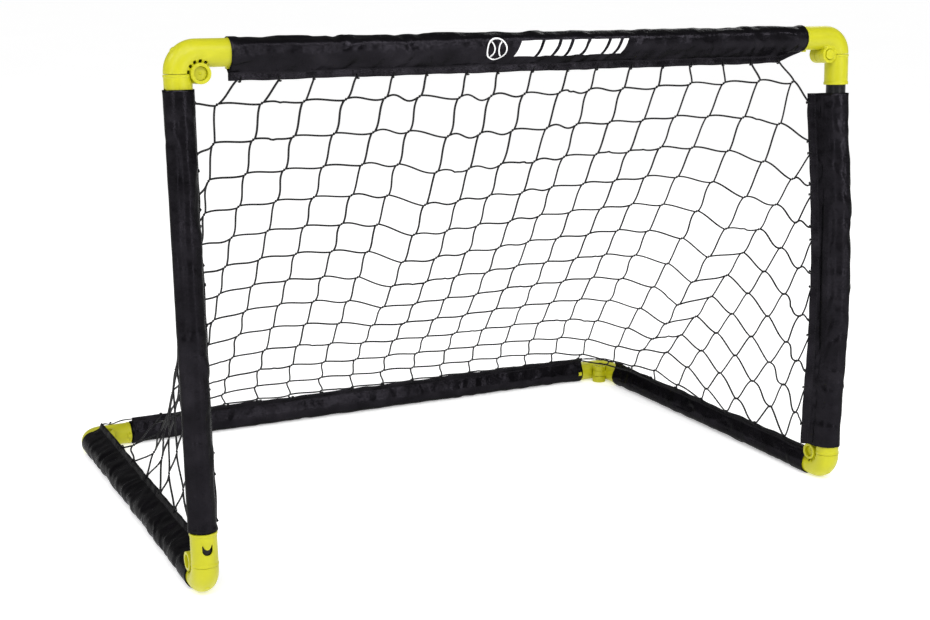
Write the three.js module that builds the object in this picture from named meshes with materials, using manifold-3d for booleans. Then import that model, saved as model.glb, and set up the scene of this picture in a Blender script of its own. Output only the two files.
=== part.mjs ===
// Folding ball-game goal: six round tubes in a closed loop, joined by six hinged elbows,
// with a nylon sleeve on every tube and one net spanning the loop.
// Millimetres, +Z up. The goal mouth faces -Y and the floor is at z = 0.

import * as THREE from 'three';
import { mergeVertices } from 'three/addons/utils/BufferGeometryUtils.js';
import Module from 'manifold-3d';

const wasm = await Module();
wasm.setup();

// ---------------------------------------------------------------- driving dimensions

const mouthWidth = 870;          // between the axes of the two posts
const sideLength = 578;          // corner to corner along a post, and along a side ground tube
const leanAngle = THREE.MathUtils.degToRad(3);   // the front frame leans back on its hinge play

const roundSides = 20;           // facets around every tube, collar and sleeve
const pinSides = 16;
const springSides = 3;           // per half turn of the spring's wire
const springSteps = 8;           // per turn of the spring
const bendSteps = 4;             // facets along an elbow's bend
const boreOvershoot = 0.05;      // the bore runs this angle past the seam, to cut it open
const tubeRadius = 12.5;
const tubeWall = 0.8;

const elbowRadius = 15;
const socketRadius = 13;
const bendRadius = 21;           // from the barrel's axis to the axis of either tube
const bodyArmLength = 37;        // straight socket of the elbow body, from the barrel's axis
const collarLength = 39;         // hinged collar, from the barrel's axis
const seamGap = 0.4;
const socketFloor = 6;           // solid end plate of the hinged collar
const bodyTubeStart = 8;         // where a tube ends inside an elbow body
const cutOvershoot = 1;          // every cut runs this far past the face it opens
const joinOverlap = 0.5;         // joined solids run this far into each other

const slotHalfWidth = 5.8;       // crescent cut round the snap tongue, on the collar's outer side
const slotTop = 28.5;
const slotArch = 20.4;
const tongueHalfWidth = 5;
const tongueReach = 7.4;

const barrelRadius = 11;
const barrelClearance = 11.5;
const recessEnd = 15;            // the barrel's plain end, with the pin head in a round recess
const buttonEnd = -12.5;         // the barrel's other end, with the lock button
const barrelWebDepth = 19;       // the web from the barrel's axis down into the elbow's wall
const collarWebDepth = 12;
const knuckleHalf = 4.6;         // half width of the collar's middle knuckle
const knuckleGapHalf = 5;        // half width of the gap it turns in
const recessRadius = 7.5;
const recessFloor = 10;
const buttonPocketRadius = 7;
const buttonPocketFloor = -8;

const pinRadius = 2.6;
const pinHoleRadius = 3;
const pinHeadRadius = 7.1;
const pinTip = -9.5;
const pinHeadFace = 11;

const buttonRadius = 6.5;
const buttonFace = -14.2;
const buttonSkirt = -10.8;
const buttonCavityRadius = 5.6;
const buttonCavityRoof = -13;

const springRadius = 4.4;
const springWire = 0.35;
const springTurns = 3;
const springSeat = 0.3;          // free play at each end of the spring

const footHeight = 0.4;          // small moulded pads that the goal stands on
const footLength = 14;
const footWidth = 7;
const footCentre = 24.5;         // along the elbow body's arm, from the barrel's axis
const groundAxisHeight = elbowRadius + footHeight;

const wideSleeve = { inner: 15.5, outer: 17.3, lift: 0 };      // slides over the elbows' arms
const groundSleeve = { inner: 14.6, outer: 16.2, lift: 1 };    // hangs clear of the floor
const hemThickness = 3;
const postHemReach = 36;
const crossHemReach = 30;
const groundHemReach = 22;

const netThickness = 2.5;
const netSag = 28;
const netClearance = 2.5;
const netTopBack = 4;            // top edge, behind the crossbar's axis
const netSideDrop = 62;          // side edges start this far below the crossbar's axis
const netCornerHeight = 58;      // where the side edges turn back along the ground
const netCornerInset = 4;
const netCornerBack = 16;
const netRearInset = 30;         // rear ends of the side edges, inward from the posts' axes
const netCornerShare = 0.48;     // share of a side edge that runs down the post
const netEdgePower = 4;          // how tightly the sheet turns into its side walls
const netColumns = 18;
const netRows = 14;

const halfWidth = mouthWidth / 2;
const halfDepth = sideLength / 2;
const elbowAngle = Math.PI / 2;
const frontElbowAngle = elbowAngle - leanAngle;
const hingeOffset = bendRadius;                                    // barrel from a square corner
const frontHingeOffset = bendRadius / Math.tan(frontElbowAngle / 2);

// ---------------------------------------------------------------- materials

const limePlastic = { color: 0xc9d21a, roughness: 0.5, metalness: 0 };
const blackSteel = { color: 0x17171a, roughness: 0.35, metalness: 0.6 };
const blackNylon = { color: 0x1d1a20, roughness: 0.7, metalness: 0 };
const blackTwine = { color: 0x101012, roughness: 0.9, metalness: 0 };
const zincSteel = { color: 0xb4b6ba, roughness: 0.35, metalness: 0.9 };

// ---------------------------------------------------------------- solid helpers

// A closed three.js geometry as a manifold solid, ready for cuts and joins.
function solid(geometry) {
  const bare = geometry.clone();
  bare.deleteAttribute('normal');
  bare.deleteAttribute('uv');
  const welded = mergeVertices(bare, 1e-4);
  return new wasm.Manifold(new wasm.Mesh({
    numProp: 3,
    vertProperties: new Float32Array(welded.attributes.position.array),
    triVerts: new Uint32Array(welded.index.array),
  }));
}

// A manifold solid back as a three.js geometry.
function geometryOf(body) {
  const mesh = body.getMesh();
  const geometry = new THREE.BufferGeometry();
  geometry.setAttribute('position', new THREE.BufferAttribute(mesh.vertProperties, 3));
  geometry.setIndex(new THREE.BufferAttribute(mesh.triVerts, 1));
  geometry.computeVertexNormals();
  return geometry;
}

// A cylinder along Y, between two heights on that axis.
function rodAlongY(radius, fromY, toY, sides = roundSides) {
  const geometry = new THREE.CylinderGeometry(radius, radius, Math.abs(toY - fromY), sides);
  geometry.translate(0, (fromY + toY) / 2, 0);
  return solid(geometry);
}

// A cylinder along the collar's axis, which is parallel to Z.
function rodAlongCollar(radius, fromZ, toZ) {
  const geometry = new THREE.CylinderGeometry(radius, radius, toZ - fromZ, roundSides);
  geometry.rotateX(Math.PI / 2);
  geometry.translate(-bendRadius, 0, (fromZ + toZ) / 2);
  return solid(geometry);
}

function box(low, high) {
  const geometry = new THREE.BoxGeometry(high[0] - low[0], high[1] - low[1], high[2] - low[2]);
  geometry.translate((low[0] + high[0]) / 2, (low[1] + high[1]) / 2, (low[2] + high[2]) / 2);
  return solid(geometry);
}

// The elbow body's centre line: straight in along its arm, then a bend about the Y axis. The first
// step is the straight stretch and the others are equal shares of the bend.
class ElbowCurve extends THREE.Curve {
  constructor(armEnd, sweep) {
    super();
    this.armEnd = armEnd;
    this.sweep = sweep;
  }

  bendShare(share) {
    return Math.max(0, (share * (bendSteps + 1) - 1) / bendSteps);
  }

  getPointAt(share, target = new THREE.Vector3()) {
    if (share * (bendSteps + 1) < 1) {
      const left = 1 - share * (bendSteps + 1);
      return target.set(this.armEnd * left, 0, -bendRadius);
    }
    const turned = this.sweep * this.bendShare(share);
    return target.set(-bendRadius * Math.sin(turned), 0, -bendRadius * Math.cos(turned));
  }

  getTangentAt(share, target = new THREE.Vector3()) {
    const turned = this.sweep * this.bendShare(share);
    return target.set(-Math.cos(turned), 0, Math.sin(turned));
  }
}

function elbowSweep(radius, armEnd, sweep) {
  const section = new THREE.Shape().absarc(0, 0, radius, 0, 2 * Math.PI);
  const options = {
    steps: bendSteps + 1,
    curveSegments: roundSides / 2,
    extrudePath: new ElbowCurve(armEnd, sweep),
    bevelEnabled: false,
  };
  return solid(new THREE.ExtrudeGeometry(section, options));
}

// ---------------------------------------------------------------- hinged elbow
// All five pieces are drawn in one hinge frame: the origin is the middle of the barrel, Y is the
// barrel's axis, the body's arm runs along +X at z = -bendRadius, and the collar runs along +Z at
// x = -bendRadius.

// Half of the barrel's lug: the body carries one on each side of the collar's middle knuckle.
function bodyKnuckle(nearY, farY) {
  const low = Math.min(nearY, farY);
  const high = Math.max(nearY, farY);
  const web = box([-barrelRadius, low, -barrelWebDepth], [barrelRadius, high, 0]);
  return rodAlongY(barrelRadius, low, high).add(web);
}

function footPad(direction) {
  const reach = elbowRadius + footHeight;
  const inside = elbowRadius - joinOverlap;
  if (direction === 'down') {
    return box(
      [footCentre - footLength / 2, -footWidth / 2, -bendRadius - reach],
      [footCentre + footLength / 2, footWidth / 2, -bendRadius - inside],
    );
  }
  const side = direction === 'recessSide' ? 1 : -1;
  return box(
    [footCentre - footLength / 2, Math.min(side * inside, side * reach), -bendRadius - footWidth / 2],
    [footCentre + footLength / 2, Math.max(side * inside, side * reach), -bendRadius + footWidth / 2],
  );
}

function elbowBody(angle, footDirection) {
  const sweep = Math.PI - angle;
  let body = elbowSweep(elbowRadius, bodyArmLength, sweep)
    .add(bodyKnuckle(knuckleGapHalf, recessEnd))
    .add(bodyKnuckle(-knuckleGapHalf, buttonEnd));
  if (footDirection) {
    body = body.add(footPad(footDirection));
  }
  return body
    .subtract(elbowSweep(socketRadius, bodyArmLength + cutOvershoot, sweep + boreOvershoot))
    .subtract(rodAlongY(barrelClearance, -knuckleGapHalf, knuckleGapHalf))
    .subtract(rodAlongY(pinHoleRadius, buttonEnd - cutOvershoot, recessEnd + cutOvershoot))
    .subtract(rodAlongY(recessRadius, recessFloor, recessEnd + cutOvershoot))
    .subtract(rodAlongY(buttonPocketRadius, buttonEnd - cutOvershoot, buttonPocketFloor));
}

// The crescent cut around the snap tongue that holds the tube in the collar.
function snapTongueCut() {
  const outline = new THREE.Shape();
  outline.moveTo(tongueHalfWidth, slotTop);
  outline.absellipse(0, slotTop, tongueHalfWidth, tongueReach, 0, Math.PI, true);
  outline.lineTo(-slotHalfWidth, slotTop);
  outline.lineTo(-slotHalfWidth, slotArch);
  outline.absarc(0, slotArch, slotHalfWidth, Math.PI, 2 * Math.PI, false);
  outline.lineTo(slotHalfWidth, slotTop);
  const wall = elbowRadius - socketRadius;
  const cut = new THREE.ExtrudeGeometry(outline, {
    depth: 2 * wall + cutOvershoot,
    curveSegments: 6,
    bevelEnabled: false,
  });
  cut.rotateX(Math.PI / 2);
  cut.rotateZ(-Math.PI / 2);
  cut.translate(-bendRadius - elbowRadius - cutOvershoot, 0, 0);
  return solid(cut);
}

function hingeCollar() {
  const middleKnuckle = rodAlongY(barrelRadius, -knuckleHalf, knuckleHalf);
  const web = box([-collarWebDepth, -knuckleHalf, seamGap], [0, knuckleHalf, barrelRadius - 1]);
  const pastWall = elbowRadius + cutOvershoot;
  return rodAlongCollar(elbowRadius, seamGap, collarLength)
    .subtract(rodAlongY(barrelClearance, knuckleHalf, pastWall))
    .subtract(rodAlongY(barrelClearance, -pastWall, -knuckleHalf))
    .add(middleKnuckle)
    .add(web)
    .subtract(rodAlongCollar(socketRadius, socketFloor, collarLength + cutOvershoot))
    .subtract(rodAlongY(pinHoleRadius, -knuckleHalf - cutOvershoot, knuckleHalf + cutOvershoot))
    .subtract(snapTongueCut());
}

function hingePin() {
  const headStart = recessFloor + seamGap;
  return rodAlongY(pinRadius, pinTip, headStart + joinOverlap, pinSides)
    .add(rodAlongY(pinHeadRadius, headStart, pinHeadFace, pinSides));
}

function lockButton() {
  const cavity = rodAlongY(buttonCavityRadius, buttonCavityRoof, buttonSkirt + cutOvershoot);
  return rodAlongY(buttonRadius, buttonFace, buttonSkirt).subtract(cavity);
}

// A short compression spring between the pocket floor and the button's roof.
class SpringCurve extends THREE.Curve {
  getPoint(share, target = new THREE.Vector3()) {
    const angle = 2 * Math.PI * springTurns * share;
    const low = buttonCavityRoof + springWire + springSeat;
    const high = buttonPocketFloor - springWire - springSeat;
    return target.set(
      springRadius * Math.cos(angle),
      low + (high - low) * share,
      springRadius * Math.sin(angle),
    );
  }
}

function buttonSpring() {
  const section = new THREE.Shape().absarc(0, 0, springWire, 0, 2 * Math.PI);
  const geometry = new THREE.ExtrudeGeometry(section, {
    steps: springTurns * springSteps,
    curveSegments: springSides,
    extrudePath: new SpringCurve(),
    bevelEnabled: false,
  });
  return solid(geometry);
}

// ---------------------------------------------------------------- tubes and sleeves
// Both are drawn along +Z from the origin.

function tube(length) {
  const wall = new THREE.Shape().absarc(0, 0, tubeRadius, 0, 2 * Math.PI);
  wall.holes.push(new THREE.Path().absarc(0, 0, tubeRadius - tubeWall, 0, 2 * Math.PI, true));
  return new THREE.ExtrudeGeometry(wall, {
    depth: length,
    curveSegments: roundSides / 2,
    bevelEnabled: false,
  });
}

// A nylon sleeve: a round bag over the tube with a flat sewn hem standing out along +X.
function sleeve(length, bag, hemReach) {
  const halfHem = Math.asin(hemThickness / 2 / bag.outer);
  const outline = new THREE.Shape();
  outline.absarc(0, 0, bag.outer, halfHem, 2 * Math.PI - halfHem);
  outline.lineTo(hemReach, -hemThickness / 2);
  outline.lineTo(hemReach, hemThickness / 2);
  outline.holes.push(new THREE.Path().absarc(0, 0, bag.inner, 0, 2 * Math.PI, true));
  return new THREE.ExtrudeGeometry(outline, {
    depth: length,
    curveSegments: roundSides / 2,
    bevelEnabled: false,
  });
}

// ---------------------------------------------------------------- assembly

const goal = new THREE.Group();
const baseFrame = new THREE.Group();
const frontFrame = new THREE.Group();
frontFrame.position.set(0, -halfDepth, groundAxisHeight);
frontFrame.rotation.x = -leanAngle;
goal.add(baseFrame, frontFrame);

function addMesh(parent, name, geometry, look, placement) {
  const mesh = new THREE.Mesh(geometry, new THREE.MeshStandardMaterial(look));
  mesh.name = name;
  placement.decompose(mesh.position, mesh.quaternion, mesh.scale);
  parent.add(mesh);
}

// The placement that puts local +X along `alongX` and local +Z along `alongZ`.
function placed(origin, alongX, alongZ) {
  const x = new THREE.Vector3(...alongX);
  const z = new THREE.Vector3(...alongZ);
  const y = new THREE.Vector3().crossVectors(z, x);
  return new THREE.Matrix4().makeBasis(x, y, z).setPosition(...origin);
}

const squareBody = geometryOf(elbowBody(elbowAngle, null));
const collarGeometry = geometryOf(hingeCollar());
const pinGeometry = geometryOf(hingePin());
const buttonGeometry = geometryOf(lockButton());
const springGeometry = geometryOf(buttonSpring());

// The body and everything in its barrel share one placement; the collar may sit in another frame.
function addElbow(parent, corner, bodyGeometry, at, collarParent = parent, collarAt = at) {
  addMesh(parent, `${corner}_elbow_body`, bodyGeometry, limePlastic, at);
  addMesh(collarParent, `${corner}_hinge_collar`, collarGeometry, limePlastic, collarAt);
  addMesh(parent, `${corner}_hinge_pin`, pinGeometry, limePlastic, at);
  addMesh(parent, `${corner}_lock_button`, buttonGeometry, limePlastic, at);
  addMesh(parent, `${corner}_button_spring`, springGeometry, zincSteel, at);
}

const frontBody = geometryOf(elbowBody(frontElbowAngle, 'down'));
const rearBodies = {
  left: geometryOf(elbowBody(elbowAngle, 'buttonSide')),
  right: geometryOf(elbowBody(elbowAngle, 'recessSide')),
};

for (const [side, sign] of [['left', -1], ['right', 1]]) {
  const postX = sign * halfWidth;
  const inward = [-sign, 0, 0];

  addElbow(
    frontFrame,
    `top_${side}`,
    squareBody,
    placed([postX - sign * hingeOffset, 0, sideLength - hingeOffset], inward, [0, 0, -1]),
  );
  addElbow(
    baseFrame,
    `front_${side}`,
    frontBody,
    placed(
      [postX, -halfDepth + frontHingeOffset, groundAxisHeight + bendRadius],
      [0, 1, 0],
      [0, 0, 1],
    ),
    frontFrame,
    placed([postX, bendRadius, frontHingeOffset], [0, 1, 0], [0, 0, 1]),
  );
  addElbow(
    baseFrame,
    `rear_${side}`,
    rearBodies[side],
    placed(
      [postX - sign * hingeOffset, halfDepth - hingeOffset, groundAxisHeight],
      inward,
      [0, -1, 0],
    ),
  );

  // post tube, between the two hinged collars
  const postStart = frontHingeOffset + socketFloor + seamGap;
  const postEnd = sideLength - hingeOffset - socketFloor - seamGap;
  addMesh(
    frontFrame,
    `${side}_post_tube`,
    tube(postEnd - postStart),
    blackSteel,
    placed([postX, 0, postStart], [1, 0, 0], [0, 0, 1]),
  );

  // side ground tube, from the front elbow's body to the rear elbow's hinged collar
  const groundStart = -halfDepth + frontHingeOffset + bodyTubeStart;
  const groundEnd = halfDepth - hingeOffset - socketFloor - seamGap;
  addMesh(
    baseFrame,
    `${side}_ground_tube`,
    tube(groundEnd - groundStart),
    blackSteel,
    placed([postX, groundStart, groundAxisHeight], [1, 0, 0], [0, 1, 0]),
  );
}

const crossTubeHalf = halfWidth - hingeOffset - bodyTubeStart;
addMesh(
  frontFrame,
  'crossbar_tube',
  tube(2 * crossTubeHalf),
  blackSteel,
  placed([-crossTubeHalf, 0, sideLength], [0, 0, -1], [1, 0, 0]),
);
addMesh(
  baseFrame,
  'rear_ground_tube',
  tube(2 * crossTubeHalf),
  blackSteel,
  placed([-crossTubeHalf, halfDepth, groundAxisHeight], [0, 0, 1], [1, 0, 0]),
);

// Sleeve ends are distances from the corner of the loop, measured along the tube. They differ from
// tube to tube, because the sleeves slide.
const diagonal = Math.SQRT1_2;
const groundSleeveStart = 60;
const groundSleeveEnd = sideLength - hingeOffset - collarLength - 1;

const sleeves = [
  {
    name: 'crossbar_sleeve',
    parent: frontFrame,
    corner: [-halfWidth, 0, sideLength],
    along: [1, 0, 0],
    ends: [54.5, mouthWidth - 59],
    hem: [0, 0, -1],
    hemReach: crossHemReach,
    bag: wideSleeve,
  },
  {
    name: 'left_post_sleeve',
    parent: frontFrame,
    corner: [-halfWidth, 0, 0],
    along: [0, 0, 1],
    ends: [62.5, 541],
    hem: [diagonal, diagonal, 0],
    hemReach: postHemReach,
    bag: wideSleeve,
  },
  {
    name: 'right_post_sleeve',
    parent: frontFrame,
    corner: [halfWidth, 0, 0],
    along: [0, 0, 1],
    ends: [36, 507],
    hem: [-diagonal, diagonal, 0],
    hemReach: postHemReach,
    bag: wideSleeve,
  },
  {
    name: 'left_ground_sleeve',
    parent: baseFrame,
    corner: [-halfWidth, -halfDepth, groundAxisHeight],
    along: [0, 1, 0],
    ends: [groundSleeveStart, groundSleeveEnd],
    hem: [diagonal, 0, diagonal],
    hemReach: groundHemReach,
    bag: groundSleeve,
  },
  {
    name: 'right_ground_sleeve',
    parent: baseFrame,
    corner: [halfWidth, -halfDepth, groundAxisHeight],
    along: [0, 1, 0],
    ends: [groundSleeveStart, groundSleeveEnd],
    hem: [-diagonal, 0, diagonal],
    hemReach: groundHemReach,
    bag: groundSleeve,
  },
  {
    name: 'rear_ground_sleeve',
    parent: baseFrame,
    corner: [-halfWidth, halfDepth, groundAxisHeight],
    along: [1, 0, 0],
    ends: [groundSleeveStart, mouthWidth - groundSleeveStart],
    hem: [0, -diagonal, diagonal],
    hemReach: groundHemReach,
    bag: groundSleeve,
  },
];

for (const { name, parent, corner, along, ends, hem, hemReach, bag } of sleeves) {
  const start = new THREE.Vector3(...along).multiplyScalar(ends[0]);
  start.add(new THREE.Vector3(...corner));
  start.z += bag.lift;
  const geometry = sleeve(ends[1] - ends[0], bag, hemReach);
  addMesh(parent, name, geometry, blackNylon, placed(start.toArray(), hem, along));
}

// ---------------------------------------------------------------- net
// One thin sheet: its top edge follows the crossbar's hem, its sides run down the post hems and
// back along the ground hems, and its bottom edge follows the rear hem.

// A point given in the leaning front frame, in the goal's own frame.
function leaning(x, y, z) {
  const point = new THREE.Vector3(x, y, z).applyAxisAngle(new THREE.Vector3(1, 0, 0), -leanAngle);
  return point.add(new THREE.Vector3(0, -halfDepth, groundAxisHeight));
}

const postHemTip = (postHemReach + netClearance) * diagonal;
const groundHemTip = (groundHemReach + netClearance) * diagonal;
const topEdge = leaning(0, netTopBack, sideLength - crossHemReach - netClearance);
const bottomEdge = new THREE.Vector3(0, halfDepth - groundHemTip, groundAxisHeight + groundHemTip);
const sideTop = leaning(halfWidth - postHemTip, postHemTip, sideLength - netSideDrop);
const sideCorner = leaning(
  halfWidth - postHemTip - netCornerInset,
  postHemTip + netCornerBack,
  netCornerHeight,
);
const sideRear = new THREE.Vector3(halfWidth - netRearInset, bottomEdge.y, bottomEdge.z);

// The middle line runs straight from top to bottom and sags; the side line turns at the corner.
function netPoint(across, down) {
  const centre = new THREE.Vector3().lerpVectors(topEdge, bottomEdge, down);
  centre.z -= netSag * Math.sin(Math.PI * down);
  const groundShare = (down - netCornerShare) / (1 - netCornerShare);
  const edge = down < netCornerShare
    ? new THREE.Vector3().lerpVectors(sideTop, sideCorner, down / netCornerShare)
    : new THREE.Vector3().lerpVectors(sideCorner, sideRear, groundShare);
  const pull = Math.abs(across) ** netEdgePower;
  const point = new THREE.Vector3(0, centre.y, centre.z).lerp(edge, pull);
  point.x = across * edge.x;
  return point;
}

function netNormal(across, down) {
  const step = 0.01;
  const along = netPoint(across + step, down).sub(netPoint(across - step, down));
  const downward = netPoint(across, Math.min(down + step, 1)).sub(
    netPoint(across, Math.max(down - step, 0)),
  );
  return along.cross(downward).normalize();
}

function netSheet() {
  const geometry = new THREE.BoxGeometry(2, 1, 1, netColumns, netRows, 1);
  geometry.deleteAttribute('normal');
  geometry.deleteAttribute('uv');
  const position = geometry.attributes.position;
  for (let i = 0; i < position.count; i += 1) {
    const across = position.getX(i);
    const down = 0.5 - position.getY(i);
    const offset = netNormal(across, down).multiplyScalar(-position.getZ(i) * netThickness);
    const point = netPoint(across, down).add(offset);
    position.setXYZ(i, point.x, point.y, point.z);
  }
  return geometryOf(solid(geometry));
}

addMesh(baseFrame, 'goal_net', netSheet(), blackTwine, new THREE.Matrix4());

export default goal;
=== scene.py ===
"""Looks of the folding ball-game goal, in metres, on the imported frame."""

import math

import bmesh
import bpy
import numpy as np
from mathutils import Matrix, Vector


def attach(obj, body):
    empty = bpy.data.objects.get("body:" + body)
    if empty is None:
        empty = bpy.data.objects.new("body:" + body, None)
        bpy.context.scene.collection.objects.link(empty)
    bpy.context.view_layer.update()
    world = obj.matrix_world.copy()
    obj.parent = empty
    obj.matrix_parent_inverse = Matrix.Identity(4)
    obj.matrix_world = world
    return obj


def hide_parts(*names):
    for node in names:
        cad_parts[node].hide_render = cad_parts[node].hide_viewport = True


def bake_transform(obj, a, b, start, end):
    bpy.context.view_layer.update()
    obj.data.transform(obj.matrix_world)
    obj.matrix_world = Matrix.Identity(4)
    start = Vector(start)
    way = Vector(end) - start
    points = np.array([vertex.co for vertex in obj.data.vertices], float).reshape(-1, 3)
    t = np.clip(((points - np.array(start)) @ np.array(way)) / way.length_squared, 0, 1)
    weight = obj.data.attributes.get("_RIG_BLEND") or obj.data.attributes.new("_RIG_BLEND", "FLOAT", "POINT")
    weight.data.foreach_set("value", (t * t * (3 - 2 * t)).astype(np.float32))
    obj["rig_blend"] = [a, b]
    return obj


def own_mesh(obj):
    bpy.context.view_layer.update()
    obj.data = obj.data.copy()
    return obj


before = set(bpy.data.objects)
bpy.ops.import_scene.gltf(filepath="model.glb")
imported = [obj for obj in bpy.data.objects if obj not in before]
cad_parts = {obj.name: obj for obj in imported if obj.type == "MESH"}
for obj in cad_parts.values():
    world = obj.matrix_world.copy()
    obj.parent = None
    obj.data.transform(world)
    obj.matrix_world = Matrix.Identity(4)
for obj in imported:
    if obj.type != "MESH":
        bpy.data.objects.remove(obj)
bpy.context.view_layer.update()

MM = 0.001

# ---------------------------------------------------------------- dimensions, in millimetres

HALF_WIDTH = 435.0
HALF_DEPTH = 289.0
SIDE = 578.0
LEAN = math.radians(3)
AXIS_HEIGHT = 15.4
TUBE_RADIUS = 12.5
TUBE_WALL = 0.8
ELBOW_RADIUS = 15.0
SOCKET_RADIUS = 13.0
RIM_RADIUS = 15.7
BEND_RADIUS = 21.0
ARM_LENGTH = 37.0
COLLAR_LENGTH = 39.0
BARREL_RADIUS = 11.0
BARREL_CLEARANCE = 11.5
PIN_HOLE_RADIUS = 3
SEAM_GAP = 0.4
KNUCKLE_HALF = 4.6        # half width of the collar's knuckle
RECESS_END = 15.0
BUTTON_END = -12.5
FRONT_ANGLE = math.radians(87)
FRONT_OFFSET = BEND_RADIUS / math.tan(FRONT_ANGLE / 2)
DIAGONAL = math.sqrt(0.5)


def add_object(name, data):
    made = bpy.data.objects.new(name, data)
    bpy.context.scene.collection.objects.link(made)
    return made


# ---------------------------------------------------------------- camera

CAMERA_PLACE = Vector((-0.855, -1.775, 0.68))
CAMERA_AZIMUTH = math.radians(26.45)
CAMERA_DOWN = math.radians(13.1)
CAMERA_ROLL = math.radians(0.1)
CAMERA_LENS = 57.0

forward = Vector((math.sin(CAMERA_AZIMUTH) * math.cos(CAMERA_DOWN),
                  math.cos(CAMERA_AZIMUTH) * math.cos(CAMERA_DOWN), -math.sin(CAMERA_DOWN)))
level = Vector((math.cos(CAMERA_AZIMUTH), -math.sin(CAMERA_AZIMUTH), 0))
upright = level.cross(forward)
right = math.cos(CAMERA_ROLL) * level + math.sin(CAMERA_ROLL) * upright
up = -math.sin(CAMERA_ROLL) * level + math.cos(CAMERA_ROLL) * upright
camera_data = bpy.data.cameras.new("camera")
camera_data.lens = CAMERA_LENS
camera_data.sensor_width = 36
camera_data.clip_end = 200
camera = add_object("camera", camera_data)
camera_turn = Matrix((right, up, -forward)).transposed().to_4x4()
camera.matrix_world = Matrix.Translation(CAMERA_PLACE) @ camera_turn
bpy.context.scene.camera = camera
bpy.context.scene.view_settings.view_transform = "Standard"

# ---------------------------------------------------------------- floor and light


def area_light(name, place, target, size, power):
    data = bpy.data.lights.new(name, "AREA")
    data.shape = "RECTANGLE"
    data.size, data.size_y = size
    data.energy = power
    light = add_object(name, data)
    light.location = place
    light.rotation_euler = (Vector(target) - Vector(place)).to_track_quat("-Z", "Y").to_euler()


area_light("strip", (0.3, -2.0, 2.2), (0, 0, 0.35), (2.2, 0.2), 17)
area_light("left_stand", (-2.6, -1.6, 0.95), (-0.3, 0, 0.3), (0.25, 1.7), 9)
area_light("right_stand", (1.0, -3.0, 0.95), (0, 0, 0.3), (0.3, 1.7), 16)
box_places = ((1.3, -1.9, 1.7), (-0.4, -2.2, 2.3), (-1.9, -1.5, 1.8), (-1.9, 0.2, 1.7))
for index, place in enumerate(box_places):
    area_light(f"box_{index}", place, (0, 0, 0.3), (0.3, 0.3), 6)
area_light("rim", (1.9, 1.7, 1.9), (0.1, 0, 0.3), (1.2, 0.3), 12)

sun_data = bpy.data.lights.new("sky_panel", "SUN")
sun_data.energy = 1.3
sun_data.angle = math.radians(45)
sun = add_object("sky_panel", sun_data)
sun.rotation_euler = Vector((0.5, 0.75, -1.25)).to_track_quat("-Z", "Y").to_euler()

world = bpy.data.worlds.new("studio")
world.use_nodes = True
background = world.node_tree.nodes["Background"]
background.inputs["Color"].default_value = (1, 1, 1, 1)
background.inputs["Strength"].default_value = 0.3
bpy.context.scene.world = world

# ---------------------------------------------------------------- materials

WEAVE_PITCH = 0.62        # millimetres of cloth for one over and under of the weave
TWIST_PITCH = 4.2         # millimetres of twine for one turn of its strands


class Look:
    """A Principled material and short calls for its nodes. In a keyword, _ stands for a space."""

    def __init__(self, name, **values):
        self.material = bpy.data.materials.new(name)
        self.material.use_nodes = True
        self.tree = self.material.node_tree
        self.shader = self.tree.nodes["Principled BSDF"]
        self.fill(self.shader, values)

    def fill(self, node, values):
        for key, value in values.items():
            node.inputs[key.replace("_", " ")].default_value = value
        return node

    def node(self, kind, **values):
        return self.fill(self.tree.nodes.new(kind), values)

    def link(self, source, target):
        self.tree.links.new(source, target)

    def split(self, name):
        """The three parts of a vector stored on the vertices."""
        stored = self.node("ShaderNodeAttribute")
        stored.attribute_name = name
        parts = self.node("ShaderNodeSeparateXYZ")
        self.link(stored.outputs["Vector"], parts.inputs[0])
        return parts.outputs

    def math(self, operation, *values):
        made = self.node("ShaderNodeMath")
        made.operation = operation
        for socket, value in zip(made.inputs, values):
            if isinstance(value, (int, float)):
                socket.default_value = value
            else:
                self.link(value, socket)
        return made.outputs[0]

    def noise(self, scale, detail):
        """Noise fixed to the piece as it was made, with the scale per metre."""
        made = self.node("ShaderNodeTexNoise", Scale=scale, Detail=detail)
        self.link(self.node("ShaderNodeTexCoord").outputs["Object"], made.inputs["Vector"])
        return made.outputs[0]

    def grey(self, source, low, high, first=0.0, last=1.0):
        """The source between low and high, spread from first to last."""
        made = self.node("ShaderNodeMapRange", From_Min=low, From_Max=high, To_Min=first, To_Max=last)
        self.link(source, made.inputs["Value"])
        return made.outputs[0]

    def ramp(self, source, low, high, *stops):
        """The source between low and high, turned into the colours in stops."""
        colours = self.node("ShaderNodeValToRGB")
        elements = colours.color_ramp.elements
        elements[0].color = (*stops[0], 1)
        elements[1].color = (*stops[-1], 1)
        for index, stop in enumerate(stops[1:-1], 1):
            elements.new(index / (len(stops) - 1)).color = (*stop, 1)
        self.link(self.grey(source, low, high), colours.inputs[0])
        return colours.outputs[0]

    def bump(self, height, distance, strength, below=None):
        made = self.node("ShaderNodeBump", Distance=distance, Strength=strength)
        self.link(height, made.inputs["Height"])
        if below is not None:
            self.link(below, made.inputs["Normal"])
        return made.outputs[0]

    def finish(self, colour, normal=None, roughness=None):
        sources = {"Base Color": colour, "Normal": normal, "Roughness": roughness}
        for socket, source in sources.items():
            if source is not None:
                self.link(source, self.shader.inputs[socket])
        return self.material


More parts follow.
